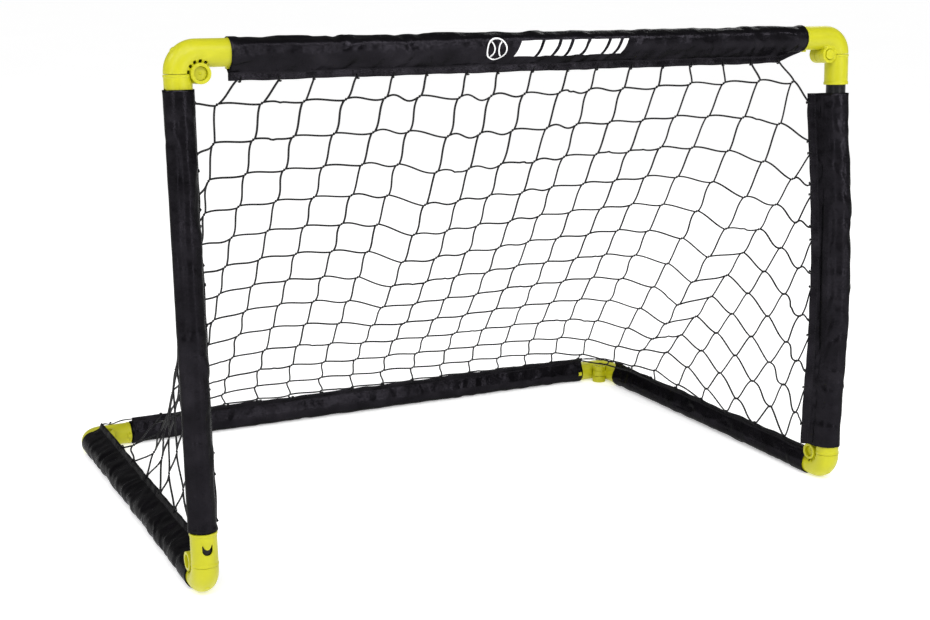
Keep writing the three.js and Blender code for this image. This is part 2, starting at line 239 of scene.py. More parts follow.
def lime_plastic():
    look = Look("lime_plastic", Roughness=0.4, Specular_IOR_Level=0.35, Subsurface_Weight=0.06,
                Subsurface_Radius=(1.0, 1.0, 0.15), Subsurface_Scale=0.003)
    colour = look.ramp(look.noise(38, 4), 0.3, 0.7,
                       (0.42, 0.41, 0.003), (0.45, 0.44, 0.005), (0.49, 0.475, 0.007))
    scuff = look.grey(look.noise(420, 5), 0.35, 0.7, 0.34, 0.5)
    grain = look.bump(look.noise(2600, 2), 0.00004, 0.5)
    wave = look.bump(look.noise(90, 1), 0.0003, 0.25, grain)
    return look.finish(colour, wave, scuff)


def black_steel():
    look = Look("black_steel", Roughness=0.3, Specular_IOR_Level=0.2)
    colour = look.ramp(look.noise(60, 3), 0.3, 0.7, (0.003, 0.003, 0.0035), (0.007, 0.007, 0.008))
    scuff = look.grey(look.noise(300, 4), 0.3, 0.7, 0.24, 0.42)
    return look.finish(colour, look.bump(look.noise(700, 2), 0.00005, 0.4), scuff)


def zinc_steel():
    look = Look("zinc_steel", Roughness=0.35, Metallic=0.9)
    colour = look.ramp(look.noise(200, 4), 0.3, 0.7, (0.34, 0.35, 0.37), (0.5, 0.51, 0.53))
    return look.finish(colour, look.bump(look.noise(1500, 3), 0.00003, 0.5))


def black_nylon():
    """A plain weave that follows the cloth: its two directions are stored on every vertex."""
    look = Look("black_nylon", Roughness=0.3, Metallic=0.8, Specular_Tint=(0.12, 0.12, 0.12, 1),
                Sheen_Weight=0.01, Sheen_Roughness=0.4, Sheen_Tint=(0.8, 0.78, 0.9, 1))
    cloth = look.split("cloth")
    pitch = 2 * math.pi / WEAVE_PITCH
    warp, weft = (look.math("SINE", look.math("MULTIPLY", cloth[k], pitch)) for k in (0, 1))
    weave = look.math("MULTIPLY", warp, weft)
    colour = look.ramp(look.noise(30, 5), 0.3, 0.7,
                       (0.008, 0.0073, 0.009), (0.0115, 0.0105, 0.013), (0.017, 0.0155, 0.019))
    uneven = look.grey(look.noise(85, 4), 0.3, 0.7, 0.18, 0.32)
    sheen_break = look.math("ADD", uneven, look.math("MULTIPLY", weave, 0.04))
    fine = look.bump(weave, 0.00001, 0.9)
    crumple = look.bump(look.noise(70, 3), 0.003, 0.4, fine)
    return look.finish(colour, crumple, sheen_break)


def black_twine():
    """Three-strand twist: x and y hold the way round the strand and z the way along it."""
    look = Look("black_twine", Roughness=0.62, Specular_IOR_Level=0.2)
    twist = look.split("twist")
    phase = look.math("MULTIPLY", twist[2], 2 * math.pi / TWIST_PITCH)
    first = look.math("MULTIPLY", twist[0], look.math("SINE", phase))
    second = look.math("MULTIPLY", twist[1], look.math("COSINE", phase))
    colour = look.ramp(look.noise(500, 3), 0.3, 0.7, (0.004, 0.004, 0.0045), (0.010, 0.0095, 0.011))
    plies = look.bump(look.math("ADD", first, second), 0.0003, 0.8)
    return look.finish(colour, look.bump(look.noise(6000, 2), 0.00005, 0.6, plies))


def white_ink():
    look = Look("white_ink", Roughness=0.55)
    colour = look.ramp(look.noise(900, 4), 0.25, 0.6, (0.62, 0.62, 0.63), (0.8, 0.8, 0.8))
    return look.finish(colour, look.bump(look.noise(1600, 2), 0.00004, 0.6))


def pale_floor():
    look = Look("pale_floor", Roughness=0.8, Specular_IOR_Level=0.1, Emission_Color=(1, 1, 1, 1),
                Emission_Strength=0.41)
    return look.finish(look.ramp(look.noise(1.5, 2), 0.3, 0.7, (0.93, 0.93, 0.93), (0.95, 0.95, 0.95)))


LIME = lime_plastic()
STEEL = black_steel()
ZINC = zinc_steel()
NYLON = black_nylon()
TWINE = black_twine()
INK = white_ink()

# ---------------------------------------------------------------- mesh helpers


def placed(origin, along_x, along_z):
    """A place in metres from millimetres, with local X and Z along the given directions."""
    x, z = Vector(along_x), Vector(along_z)
    turn = Matrix((x, z.cross(x), z)).transposed().to_4x4()
    return Matrix.Translation(Vector(origin) * MM) @ turn


FRONT = Matrix.Translation(Vector((0, -HALF_DEPTH, AXIS_HEIGHT)) * MM) @ Matrix.Rotation(-LEAN, 4, "X")


def through(matrix, points):
    """Points in millimetres carried by a placement in metres."""
    turn = np.array(matrix.to_3x3())
    shift = np.array(matrix.translation) / MM
    return np.asarray(points, float) @ turn.T + shift


def new_mesh(name, points, faces, material, sharp=None):
    """A mesh in metres from points in millimetres."""
    mesh = bpy.data.meshes.new(name)
    mesh.from_pydata((np.asarray(points, float) * MM).tolist(), [], faces)
    mesh.polygons.foreach_set("use_smooth", np.ones(len(mesh.polygons), bool))
    if sharp is not None:
        mesh.set_sharp_from_angle(angle=math.radians(sharp))
    mesh.materials.append(material)
    mesh.update()
    return mesh


def new_piece(name, mesh, body, nodes=(), matrix=None):
    piece = add_object(name, mesh)
    if matrix is not None:
        piece.matrix_world = matrix
    if body:
        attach(piece, body)
    if nodes:
        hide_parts(*nodes)
    return piece


def store_vector(mesh, name, values):
    layer = mesh.attributes.new(name, "FLOAT_VECTOR", "POINT")
    layer.data.foreach_set("vector", np.asarray(values, np.float32).ravel())


def grid_faces(rows, columns, wrap_rows=False, wrap_columns=False, start=0):
    """Quads over a grid of points numbered row by row."""
    faces = []
    for i in range(rows if wrap_rows else rows - 1):
        for j in range(columns if wrap_columns else columns - 1):
            k, m = (i + 1) % rows, (j + 1) % columns
            faces.append((start + i * columns + j, start + i * columns + m,
                          start + k * columns + m, start + k * columns + j))
    return faces


def bar_faces(rings, sides, base=0):
    """The skin and both end caps of a bar whose points are given ring by ring."""
    last = base + (rings - 1) * sides
    caps = [tuple(reversed(range(base, base + sides))), tuple(range(last, last + sides))]
    return grid_faces(rings, sides, False, True, base) + caps


def revolve(profile, sides, axis="Y"):
    """A closed solid turned about an axis: profile holds (radius, height) from one end to the other,
    and starts and ends on the axis."""
    inner = profile[1:-1]
    turns = np.arange(sides) * 2 * math.pi / sides
    out = [(0, profile[0][1], 0)]
    for radius, height in inner:
        out += [(radius * math.cos(a), height, radius * math.sin(a)) for a in turns]
    out.append((0, profile[-1][1], 0))
    last = len(out) - 1
    faces = [(0, 1 + (j + 1) % sides, 1 + j) for j in range(sides)]
    faces += [tuple(reversed(f)) for f in grid_faces(len(inner), sides, False, True, 1)]
    base = 1 + (len(inner) - 1) * sides
    faces += [(last, base + j, base + (j + 1) % sides) for j in range(sides)]
    out = np.array(out, float)
    if axis == "X":
        out = out[:, [1, 0, 2]] * (1, -1, 1)
    if axis == "Z":
        out = out[:, [0, 2, 1]] * (1, -1, 1)
    return out, faces


def rod(radius, low, high, axis="Y", centre=(0, 0, 0), sides=64):
    points, faces = revolve([(0, low), (radius, low), (radius, high), (0, high)], sides, axis)
    return points + np.array(centre, float), faces


def block(low, high):
    corners = [(x, y, z) for x in (low[0], high[0]) for y in (low[1], high[1]) for z in (low[2], high[2])]
    faces = [(0, 1, 3, 2), (4, 6, 7, 5), (0, 4, 5, 1), (2, 3, 7, 6), (0, 2, 6, 4), (1, 5, 7, 3)]
    return np.array(corners, float), faces


def scratch(points, faces):
    """A throwaway object in millimetres, for the boolean modifier."""
    mesh = bpy.data.meshes.new("scratch")
    mesh.from_pydata(np.asarray(points, float).tolist(), [], faces)
    work = bmesh.new()
    work.from_mesh(mesh)
    bmesh.ops.recalc_face_normals(work, faces=work.faces)
    work.to_mesh(mesh)
    work.free()
    return add_object("scratch", mesh)


VOXEL = 0.42              # fine enough for the smallest moulded detail
KEPT_FACES = 0.42         # share of the faces kept after rounding


def solid_parts(body):
    done = body.evaluated_get(bpy.context.evaluated_depsgraph_get())
    points = np.array([v.co for v in done.data.vertices], float)
    return points, [tuple(p.vertices) for p in done.data.polygons]


def combined(base, joins, cuts, rounded=True):
    """Joins and cuts closed solids and, where asked, rounds every edge a little, as a mould does."""
    body = scratch(*base)
    tools = []
    for operation, solids in (("UNION", joins), ("DIFFERENCE", cuts)):
        for solid in solids:
            tools.append(scratch(*solid))
            step = body.modifiers.new("step", "BOOLEAN")
            step.operation, step.solver, step.object = operation, "MANIFOLD", tools[-1]
    if rounded:
        remesh = body.modifiers.new("voxels", "REMESH")
        remesh.mode, remesh.voxel_size = "VOXEL", VOXEL
        smooth = body.modifiers.new("soften", "SMOOTH")
        smooth.factor, smooth.iterations = 0.5, 3
        body.modifiers.new("fewer", "DECIMATE").ratio = KEPT_FACES
    bpy.context.view_layer.update()
    result = solid_parts(body)
    for thing in [body, *tools]:
        mesh = thing.data
        bpy.data.objects.remove(thing)
        bpy.data.meshes.remove(mesh)
    return result


# ---------------------------------------------------------------- hinged elbows
# Drawn in one hinge frame, in millimetres: the origin is the middle of the barrel, Y is its axis,
# the body's arm runs along +X at z = -BEND_RADIUS and the collar along +Z at x = -BEND_RADIUS.


def elbow_sweep(radius, arm_end, sweep, sides=80, bend_steps=26, bulge=0.0):
    """A round bar along the elbow's centre line, a little fuller round the bend."""
    stations = [(arm_end * (1 - i / 6), 0.0) for i in range(6)]
    stations += [(0.0, sweep * i / bend_steps) for i in range(bend_steps + 1)]
    points = []
    for along, turned in stations:
        centre = np.array((-BEND_RADIUS * math.sin(turned) + along, 0, -BEND_RADIUS * math.cos(turned)))
        outward = np.array((-math.sin(turned), 0, -math.cos(turned)))
        full = radius + bulge * math.sin(math.pi * turned / sweep)
        for j in range(sides):
            angle = 2 * math.pi * j / sides
            points.append(centre + full * (math.cos(angle) * outward + math.sin(angle) * np.array((0, 1, 0))))
    faces = grid_faces(len(stations), sides, False, True)
    faces.append(tuple(range(sides)))
    faces.append(tuple(reversed(range(len(points) - sides, len(points)))))
    return np.array(points), faces


WINDOWS = 5
WINDOW_RING = 12.9
SERRATIONS = 28
SERRATION_RING = 10.1


def beside_barrel(points, faces, ring, turn):
    """A solid moved out from the barrel's axis, to its place on a ring."""
    return points + (ring * math.cos(turn), 0, ring * math.sin(turn)), faces


def elbow_body(angle):
    sweep = math.pi - angle
    joins, cuts = [], []
    for near, far in ((5.0, RECESS_END), (BUTTON_END, -5.0)):
        joins.append(rod(BARREL_RADIUS, near, far))
        root = np.clip((near, far), -11, 11)
        joins.append(block((-8, root[0], 3 - BEND_RADIUS), (8, root[1], 0)))
    # the arm's rim, and the small tab on its inner edge
    joins.append(rod(RIM_RADIUS, ARM_LENGTH - 3.2, ARM_LENGTH, "X", (0, 0, -BEND_RADIUS)))
    joins.append(block((ARM_LENGTH - 6, -3, -BEND_RADIUS + 14), (ARM_LENGTH, 3, -BEND_RADIUS + 17.2)))
    # the round moulding nub in the middle of the bend's outer side
    middle = sweep / 2
    reach = BEND_RADIUS + ELBOW_RADIUS - 1
    nub, nub_faces = rod(2.6, -1.5, 2.2, "Z", sides=24)
    tilt = np.array(Matrix.Rotation(math.pi + middle, 3, "Y"))
    joins.append((nub @ tilt.T + (-reach * math.sin(middle), 0, -reach * math.cos(middle)), nub_faces))
    cuts.append(elbow_sweep(SOCKET_RADIUS, ARM_LENGTH + 1, sweep + 0.05))
    cuts.append(rod(BARREL_CLEARANCE, -5, 5))
    cuts.append(rod(PIN_HOLE_RADIUS, BUTTON_END - 1, RECESS_END + 1, sides=32))
    cuts.append(rod(7.5, 10, RECESS_END + 1))
    cuts.append(rod(7, BUTTON_END - 1, -8))
    # five small windows beside the plain end of the barrel, on the bend's side
    for k in range(WINDOWS):
        turn = math.radians(188 + 28 * k)
        points, faces = block((-1.6, 8.4, -1.7), (1.6, RECESS_END + 1, 1.7))
        spin = np.array(Matrix.Rotation(-turn, 3, "Y"))
        cuts.append(beside_barrel(points @ spin.T, faces, WINDOW_RING, turn))
    # fine serrations around the button
    for k in range(SERRATIONS):
        turn = 2 * math.pi * k / SERRATIONS
        points, faces = rod(0.55, BUTTON_END - 1, BUTTON_END + 1.2, sides=10)
        cuts.append(beside_barrel(points, faces, SERRATION_RING, turn))
    return combined(elbow_sweep(ELBOW_RADIUS, ARM_LENGTH, sweep, bulge=0.5), joins, cuts)


def u_cut():
    """The crescent round the snap tongue, as a closed outline pushed through the collar's outer side."""
    half, top, arch = 5.8, 28.5, 20.4
    tongue_half, tongue_reach = 5.0, 7.4
    outline = [(half, top)]
    outline += [(tongue_half * math.cos(a), top - tongue_reach * math.sin(a))
                for a in np.linspace(0, math.pi, 16)]
    outline.append((-half, top))
    outline += [(-half * math.cos(a), arch - half * math.sin(a)) for a in np.linspace(0, math.pi, 18)]
    count = len(outline)
    points = [(x, y, z) for x in (-BEND_RADIUS - 18, -BEND_RADIUS - 11) for y, z in outline]
    faces = [tuple(range(count)), tuple(reversed(range(count, 2 * count)))]
    faces += grid_faces(2, count, False, True)
    return np.array(points, float), faces


def hinge_collar():
    def along_arm(radius, low, high):
        return rod(radius, low, high, "Z", (-BEND_RADIUS, 0, 0), 80)

    rims = [along_arm(RIM_RADIUS, COLLAR_LENGTH - 3.4, COLLAR_LENGTH),
            along_arm(RIM_RADIUS - 0.2, SEAM_GAP, SEAM_GAP + 2.6)]
    beside_knuckle = [rod(BARREL_CLEARANCE, KNUCKLE_HALF, 17), rod(BARREL_CLEARANCE, -16, -KNUCKLE_HALF)]
    shell = combined(along_arm(ELBOW_RADIUS, SEAM_GAP, COLLAR_LENGTH), rims, beside_knuckle, rounded=False)
    knuckle = [rod(BARREL_RADIUS, -KNUCKLE_HALF, KNUCKLE_HALF),
               block((-BEND_RADIUS + 9, -KNUCKLE_HALF, SEAM_GAP), (0, KNUCKLE_HALF, BARREL_RADIUS - 1))]
    cuts = [along_arm(SOCKET_RADIUS, 6, COLLAR_LENGTH + 1), rod(PIN_HOLE_RADIUS, -6, 6, sides=32), u_cut()]
    return combined(shell, knuckle, cuts)


def lock_button():
    """A cap that is hollow behind, so that it clears the pin's end when it is pressed."""
    cavity = [(0, -13.0), (5.3, -13.0), (5.4, -12.9), (5.4, -10.9)]
    rim = [(5.5, -10.8), (6.4, -10.8), (6.5, -10.9), (6.5, -13.5), (6.3, -13.95), (5.8, -14.2)]
    face = [(4.6, -14.25), (4.3, -14.0), (3.9, -13.95), (1.5, -13.9), (0, -13.9)]
    return revolve(cavity + rim + face, 64)


def hinge_pin():
    return revolve([(0, -9.5), (2.4, -9.5), (2.6, -9.2), (2.6, 10.2), (6.9, 10.2), (7.1, 10.4),
                    (7.1, 10.8), (6.9, 11.0), (2.2, 11.0), (1.5, 11.1), (1.3, 11.6), (0.8, 11.9),
                    (0, 12.0)], 64)


SPRING_TURNS = 3
SPRING_RADIUS = 4.4
SPRING_WIRE = 0.35
SPRING_LOW = -12.35       # by the button's roof
SPRING_HIGH = -8.65       # by the bottom of the pocket


def button_spring():
    """A short compression spring along the barrel, behind the button."""
    steps, sides = 24 * SPRING_TURNS, 8
    turns = np.linspace(0, 2 * math.pi * SPRING_TURNS, steps + 1)[:, None]
    heights = np.linspace(SPRING_LOW, SPRING_HIGH, steps + 1)[:, None]
    section = np.arange(sides) * 2 * math.pi / sides
    reach = SPRING_RADIUS + SPRING_WIRE * np.cos(section)
    rise = SPRING_WIRE * np.sin(section)
    points = np.stack([np.cos(turns) * reach, heights + rise, np.sin(turns) * reach], -1).reshape(-1, 3)
    return points, bar_faces(steps + 1, sides)


square_body = new_mesh("square_body", *elbow_body(math.pi / 2), LIME, 40)
front_body = new_mesh("front_body", *elbow_body(FRONT_ANGLE), LIME, 40)
collar_mesh = new_mesh("collar", *hinge_collar(), LIME, 40)
button_mesh = new_mesh("button", *lock_button(), LIME, 40)
pin_mesh = new_mesh("pin", *hinge_pin(), LIME, 40)
spring_mesh = new_mesh("spring", *button_spring(), ZINC, 40)


def add_elbow(corner, body_mesh, body, at, collar_body, collar_at):
    """One elbow: each moulded piece rides its own body and stands for its own CAD node."""
    for kind, mesh, rides, node, place in (
        ("body", body_mesh, body, "elbow_body", at),
        ("collar", collar_mesh, collar_body, "hinge_collar", collar_at),
        ("pin", pin_mesh, body, "hinge_pin", at),
        ("button", button_mesh, f"{corner}_button", "lock_button", at),
    ):
        new_piece(f"{corner}_{kind}_visual", mesh, rides, [f"{corner}_{node}"], place)
    spring = new_piece(f"{corner}_spring_visual", spring_mesh, body,
                       [f"{corner}_button_spring"], at)
    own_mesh(spring)


for side, sign in (("left", -1), ("right", 1)):
    post_x = sign * HALF_WIDTH
    inward = (-sign, 0, 0)
    top = FRONT @ placed((post_x - sign * BEND_RADIUS, 0, SIDE - BEND_RADIUS), inward, (0, 0, -1))
    add_elbow(f"top_{side}", square_body, "front_frame", top, "front_frame", top)
    low = placed((post_x, -HALF_DEPTH + FRONT_OFFSET, AXIS_HEIGHT + BEND_RADIUS), (0, 1, 0), (0, 0, 1))
    low_collar = FRONT @ placed((post_x, BEND_RADIUS, FRONT_OFFSET), (0, 1, 0), (0, 0, 1))
    add_elbow(f"front_{side}", front_body, "base_frame", low, "front_frame", low_collar)
    rear_corner = (post_x - sign * BEND_RADIUS, HALF_DEPTH - BEND_RADIUS, AXIS_HEIGHT)
    rear = placed(rear_corner, inward, (0, -1, 0))
    add_elbow(f"rear_{side}", square_body, "base_frame", rear, "base_frame", rear)

for name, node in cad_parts.items():
    node.data.materials.clear()
    node.data.materials.append(ZINC if name.endswith("spring") else STEEL)

# ---------------------------------------------------------------- tubes


def tube_mesh(name, length, sides=56):
    """A plain tube along +Z with rolled ends."""
    inner = TUBE_RADIUS - TUBE_WALL
    profile = [(inner, 0.2), (inner + 0.2, 0), (TUBE_RADIUS - 0.2, 0), (TUBE_RADIUS, 0.2)]
    steps = 10
    profile += [(TUBE_RADIUS, 0.2 + (length - 0.4) * i / steps) for i in range(1, steps + 1)]
    profile += [(TUBE_RADIUS - 0.2, length), (inner + 0.2, length)]
    profile += [(inner, length - 0.2 - (length - 0.4) * i / steps) for i in range(steps)]
    points = [(r * math.cos(2 * math.pi * j / sides), r * math.sin(2 * math.pi * j / sides), z)
              for r, z in profile for j in range(sides)]
    return new_mesh(name, points, grid_faces(len(profile), sides, True, True), STEEL, 40)


def add_tube(name, body, length, matrix):
    new_piece(f"{name}_visual", tube_mesh(name, length), body, [name], matrix)


IN_COLLAR = 6.4           # how far from the bend a tube stops inside a collar
IN_ARM = 8                # the same inside a body's arm

post_start = FRONT_OFFSET + IN_COLLAR
post_end = SIDE - BEND_RADIUS - IN_COLLAR
ground_start = -HALF_DEPTH + FRONT_OFFSET + IN_ARM
ground_end = HALF_DEPTH - BEND_RADIUS - IN_COLLAR
cross_half = HALF_WIDTH - BEND_RADIUS - IN_ARM
for side, sign in (("left", -1), ("right", 1)):
    post_x = sign * HALF_WIDTH
    add_tube(f"{side}_post_tube", "front_frame", post_end - post_start,
             FRONT @ placed((post_x, 0, post_start), (1, 0, 0), (0, 0, 1)))
    add_tube(f"{side}_ground_tube", "base_frame", ground_end - ground_start,
             placed((post_x, ground_start, AXIS_HEIGHT), (1, 0, 0), (0, 1, 0)))
add_tube("crossbar_tube", "front_frame", 2 * cross_half,
         FRONT @ placed((-cross_half, 0, SIDE), (0, 0, -1), (1, 0, 0)))
add_tube("rear_ground_tube", "base_frame", 2 * cross_half,
         placed((-cross_half, HALF_DEPTH, AXIS_HEIGHT), (0, 0, 1), (1, 0, 0)))

# ---------------------------------------------------------------- sleeves
# A sleeve is one strip of nylon closed round the tube by a seam, with its doubled hem standing out.
# Its cloth is drawn as an outline (hem tip, round the tube, hem tip) swept along the tube. Every
# outline point has a length along the cloth, so wrinkles and stitches are laid out as on flat cloth.

CLOTH = 0.7            # how thick the cloth is drawn
HEM_HALF = 1.0         # half thickness of the doubled hem
OUTLINE_POINTS = 108
STATION_STEP = 3.0
ARM_COVER = 74.0       # from a corner, how far the cloth has to stay clear of the elbow's arm
CLOTH_ON_TUBE = 13.1   # the cloth's least distance from the tube's axis


def eased(x):
    """A step from 0 to 1 that starts and ends gently."""
    x = np.clip(x, 0, 1)
    return x * x * (3 - 2 * x)


class Sleeve:
    def __init__(self, name, body, matrix, corner, along, hem, start, end, reach, seam, radius, seed,
                 creases, strength, floor=False, length=SIDE, hem_wave=1.0, slant=0.9, spread=0.5,
                 folds=(), gathers=(36.0, 1.0), taper=0.0, sway=0.0, tight=1.2):
        self.name, self.body, self.matrix = name, body, matrix
        self.corner = np.array(corner, float)
        self.along = np.array(along, float)
        self.hem = np.array(hem, float)
        self.side = np.cross(self.along, self.hem)
        self.start, self.end, self.reach, self.seam, self.radius = start, end, reach, seam, radius
        self.floor, self.length = floor, length
        self.slant, self.spread, self.taper, self.sway = slant, spread, taper, sway
        self.rng = np.random.default_rng(seed)
        self.count = int((end - start) / STATION_STEP) + 1
        self.stations = np.linspace(start, end, self.count)
        self.draw_outline()
        self.grid_s, self.grid_q = np.meshgrid(self.stations, self.cloth, indexing="ij")
        seam_line = (reach - seam) / self.perimeter
        grooves = [(seam_line, -0.9, 2.2), (1 - seam_line, -0.9, 2.2)]
        self.relief = (self.wrinkles(creases, strength) + self.long_folds([*folds, *grooves])
                       + self.puckers(*gathers))
        self.relief = tight * np.tanh(self.relief / tight)
        self.hem_shift = hem_wave * self.slow_waves(self.stations, (47.0, 83.0, 190.0), 1.0)
        self.hem_pull = 0.6 * hem_wave * self.slow_waves(self.stations, (36.0, 120.0), 1.0)
        self.outer = self.surface(0.0)
        self.inner = self.surface(CLOTH)

    def slow_waves(self, along, lengths, tallest):
        """Waves of the given lengths along the tube, each with its own height and start."""
        return sum(self.rng.uniform(0.4, tallest)
                   * np.sin(2 * math.pi * along / wave + self.rng.uniform(0, 6)) for wave in lengths)

    def draw_outline(self):
        """The resting outline in (hem direction, side direction), evenly spaced along the cloth."""
        reach, seam, radius = self.reach, self.seam, self.radius
        tangent = math.acos(min(1.0, radius / math.hypot(seam, HEM_HALF))) + math.atan2(HEM_HALF, seam)
        tip = [(reach - HEM_HALF + HEM_HALF * math.cos(a), HEM_HALF * math.sin(a))
               for a in np.linspace(0, math.pi / 2, 5)]
        half = tip + [(seam, HEM_HALF)]
        half += [(radius * math.cos(a), radius * math.sin(a)) for a in np.linspace(tangent, math.pi, 60)]
        raw = np.array(half + [(x, -y) for x, y in reversed(half[1:-1])])
        raw = np.vstack([raw, raw[:1] - (0, 1e-3)])
        steps = np.r_[0, np.cumsum(np.linalg.norm(np.diff(raw, axis=0), axis=1))]
        self.perimeter = steps[-1]
        self.cloth = np.linspace(0, self.perimeter, OUTLINE_POINTS)
        self.outline = np.stack([np.interp(self.cloth, steps, raw[:, k]) for k in (0, 1)], 1)
        slope = np.gradient(self.outline, axis=0)
        slope /= np.linalg.norm(slope, axis=1)[:, None]
        self.normal = np.stack([slope[:, 1], -slope[:, 0]], 1)
        self.hem_share = eased((self.outline[:, 0] - radius * 0.9) / (reach - radius * 0.9))
        self.loose = np.clip((seam - self.outline[:, 0]) / 6, 0, 1)

    def crease(self, at_s, at_q, angle, width, long, height):
        """One crease: a sharp ridge with a flat slope on each side, fading out at both ends."""
        ds, dq = self.grid_s - at_s, self.grid_q - at_q
        run = ds * math.cos(angle) + dq * math.sin(angle)
        bend = self.rng.normal(0, 0.006)
        off = -ds * math.sin(angle) + dq * math.cos(angle) + bend * run * run
        slope = np.sqrt((off / width) ** 2 + 0.01)
        return height * np.maximum(0, 1.1 - slope) * np.exp(-(run / long) ** 2)

    def wrinkles(self, count, strength):
        """Creases at many places and angles over slow swells of the loose cloth."""
        relief = np.zeros_like(self.grid_s)
        for _ in range(count):
            at_s = self.rng.uniform(self.start, self.end)
            at_q = self.rng.uniform(0.08, 0.92) * self.perimeter
            angle = self.slant * self.rng.choice((-1, 1)) + self.rng.normal(0, self.spread)
            width = self.rng.uniform(3.0, 9.0)
            relief += self.crease(at_s, at_q, angle, width, width * self.rng.uniform(1.6, 4.2),
                                  strength * self.rng.uniform(-0.6, 1.0) * width / 6)
        for wave in (31.0, 57.0, 140.0):
            relief += strength * 0.08 * np.sin(2 * math.pi * self.grid_s / wave + self.rng.uniform(0, 6)
                                              + self.grid_q / self.perimeter * self.rng.uniform(2, 7))
        return relief

    def puckers(self, spacing, height):
        """Short gathers that stand on the seam, where the stitching draws the cloth together."""
        relief = np.zeros_like(self.grid_s)
        seam_row = self.reach - self.seam
        for row in (seam_row, self.perimeter - seam_row):
            s = self.start + spacing * self.rng.uniform(0.2, 0.8)
            while s < self.end:
                into = 1 if row < self.perimeter / 2 else -1
                tall = self.rng.uniform(5, 13)
                relief += self.crease(s, row + into * (tall * 0.7 + 1), math.pi / 2 + self.rng.normal(0, 0.3),
                                      self.rng.uniform(4, 8), tall, height * self.rng.uniform(0.3, 1.2))
                s += spacing * self.rng.uniform(0.5, 1.6)
        return relief

    def long_folds(self, folds):
        """Creases that run nearly the whole length, given as (cloth place, height, width)."""
        relief = np.zeros_like(self.grid_s)
        for place, height, width in folds:
            drift = self.slow_waves(self.grid_s, (70.0, 160.0, 330.0), 1.2)
            off = (self.grid_q - place * self.perimeter - drift) / width
            relief += height * np.maximum(0, 1.1 - np.sqrt(off * off + 0.01))
        return relief

    def least_radius(self):
        """How far the cloth must stay from the tube's axis: clear of the elbows' arms at both ends."""
        near = (ARM_COVER - self.stations) / 12
        far = (self.stations - (self.length - ARM_COVER)) / 12
        share = eased(np.maximum(near, far))
        return CLOTH_ON_TUBE + share * (RIM_RADIUS + 0.25 - CLOTH_ON_TUBE)

    def surface(self, inset):
        """Points (station, outline, 3) of the cloth's outer side, or set in by its thickness."""
        depth = min(inset, HEM_HALF * 0.6)
        flat = self.outline[None] + self.normal[None] * (
            self.relief[:, :, None] * self.loose[None, :, None]
            + 0.3 * self.relief[:, :, None] * (1 - self.loose[None, :, None]))
        gap = self.stations - self.start
        rest = self.end - self.stations
        mouth = 0.7 * (np.exp(-gap / 5) + np.exp(-rest / 5))
        flat = flat + self.normal[None] * mouth[:, None, None] * self.loose[None, :, None]
        flat[:, :, 1] += self.hem_shift[:, None] * self.hem_share[None]
        flat[:, :, 0] += self.hem_pull[:, None] * self.hem_share[None]
        middle = np.sin(math.pi * gap / (self.end - self.start))
        flat[:, :, 0] -= (self.sway * middle ** 1.3)[:, None]
        if self.taper:
            short = np.clip((self.stations - (self.end - self.taper)) / self.taper, 0, 1)
            past = np.maximum(flat[:, :, 0] - self.radius, 0)
            flat[:, :, 0] -= past * (0.85 * short)[:, None]
        radial = np.linalg.norm(flat, axis=2)
        least = self.least_radius()[:, None] + CLOTH
        grow = np.maximum(least / np.maximum(radial, 1e-6), 1.0)
        flat = flat * grow[:, :, None]
        shrink = np.where(self.loose > 0.3, inset, depth)
        flat = flat - self.normal[None] * shrink[None, :, None]
        points = (self.corner + self.stations[:, None, None] * self.along
                  + flat[:, :, :1] * self.hem + flat[:, :, 1:] * self.side)
        points = through(self.matrix, points.reshape(-1, 3)).reshape(points.shape)
        if self.floor:
            points[:, :, 2] = np.maximum(points[:, :, 2], 0.15 + inset)
        return points

    def at(self, s, q, lift=0.0):
        """A point on the outer cloth, at a distance along the tube and a distance along the cloth."""
        i = np.clip((np.asarray(s, float) - self.start) / (self.end - self.start), 0, 1) * (self.count - 1)
        j = np.clip(np.asarray(q, float) / self.perimeter, 0, 1) * (OUTLINE_POINTS - 1)
        i0 = np.minimum(i.astype(int), self.count - 2)
        j0 = np.minimum(j.astype(int), OUTLINE_POINTS - 2)
        fi, fj = (i - i0)[..., None], (j - j0)[..., None]
        outer = self.outer
        point = ((outer[i0, j0] * (1 - fj) + outer[i0, j0 + 1] * fj) * (1 - fi)
                 + (outer[i0 + 1, j0] * (1 - fj) + outer[i0 + 1, j0 + 1] * fj) * fi)
        along = outer[i0 + 1, j0] - outer[i0, j0]
        across = outer[i0, j0 + 1] - outer[i0, j0]
        normal = np.cross(across, along)
        normal /= np.linalg.norm(normal, axis=-1)[..., None] + 1e-9
        return point + normal * lift, along, across, normal

    def hem_tip(self, s):
        """Where twine is tied to the hem, 2 mm inside its edge."""
        first = self.at(s, 3.0)[0]
        second = self.at(s, self.perimeter - 3.0)[0]
        return (first + second) / 2

    def build(self):
        points = np.concatenate([*self.outer, *self.inner[::-1]])
        faces = [tuple(reversed(f)) for f in grid_faces(2 * self.count, OUTLINE_POINTS, True, True)]
        mesh = new_mesh(self.name, points, faces, NYLON)
        s = np.r_[self.stations, self.stations[::-1]]
        cloth = np.stack(np.broadcast_arrays(s[:, None], self.cloth[None, :], 0.0), -1)
        store_vector(mesh, "cloth", cloth.reshape(-1, 3))
        new_piece(f"{self.name}_visual", mesh, self.body, [self.name])
        self.build_stitches()

